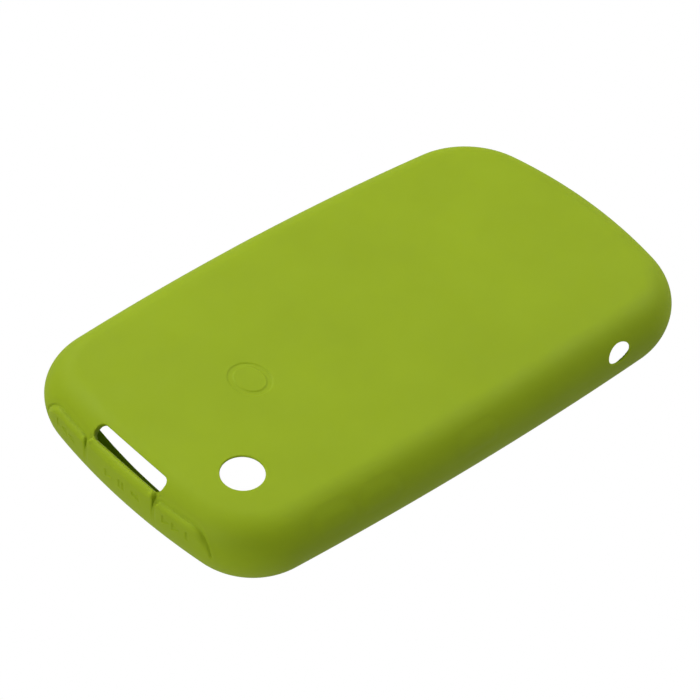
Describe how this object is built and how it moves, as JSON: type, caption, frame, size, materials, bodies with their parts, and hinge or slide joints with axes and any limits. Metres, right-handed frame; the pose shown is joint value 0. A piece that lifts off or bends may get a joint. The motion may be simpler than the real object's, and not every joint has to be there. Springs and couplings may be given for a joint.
{
  "type": "phone case",
  "caption": "Soft silicone skin for a small keyboard phone: open front with a curled lip, domed back, raised media and side keys, camera window, speaker slot and port openings.",
  "frame": {"origin": "centre of the plan outline, on the plane that the lip of the open front lies on", "axes": "+Z out of the back panel, +Y from the media-key end towards the far end, +X towards the side with the volume keys"},
  "size_m": [0.064, 0.1123, 0.0158],
  "materials": {
    "silicone_skin": "matte silicone",
    "silicone_keys": "matte silicone"
  },
  "bodies": {
    "skin": {"skin_shell": "silicone_skin"},
    "media_key_previous": {"media_key_previous": "silicone_keys"},
    "media_key_play_mute": {"media_key_play_mute": "silicone_keys"},
    "media_key_next": {"media_key_next": "silicone_keys"},
    "volume_up_key": {"volume_up_key": "silicone_keys"},
    "volume_down_key": {"volume_down_key": "silicone_keys"},
    "right_convenience_key": {"right_convenience_key": "silicone_keys"},
    "left_convenience_key": {"left_convenience_key": "silicone_keys"}
  },
  "joints": [
    {"name": "media_key_previous_press", "type": "slide", "parent": "skin", "child": "media_key_previous", "axis": [0, 1, 0], "range_m": [0, 0.0005], "stiffness_N_per_m": 1800},
    {"name": "media_key_play_mute_press", "type": "slide", "parent": "skin", "child": "media_key_play_mute", "axis": [0, 1, 0], "range_m": [0, 0.0005], "stiffness_N_per_m": 1800},
    {"name": "media_key_next_press", "type": "slide", "parent": "skin", "child": "media_key_next", "axis": [0, 1, 0], "range_m": [0, 0.0005], "stiffness_N_per_m": 1800},
    {"name": "volume_up_key_press", "type": "slide", "parent": "skin", "child": "volume_up_key", "axis": [-1, 0, 0], "range_m": [0, 0.0005], "stiffness_N_per_m": 1800},
    {"name": "volume_down_key_press", "type": "slide", "parent": "skin", "child": "volume_down_key", "axis": [-1, 0, 0], "range_m": [0, 0.0005], "stiffness_N_per_m": 1800},
    {"name": "right_convenience_key_press", "type": "slide", "parent": "skin", "child": "right_convenience_key", "axis": [-1, 0, 0], "range_m": [0, 0.0005], "stiffness_N_per_m": 1800},
    {"name": "left_convenience_key_press", "type": "slide", "parent": "skin", "child": "left_convenience_key", "axis": [1, 0, 0], "range_m": [0, 0.0005], "stiffness_N_per_m": 1800}
  ]
}
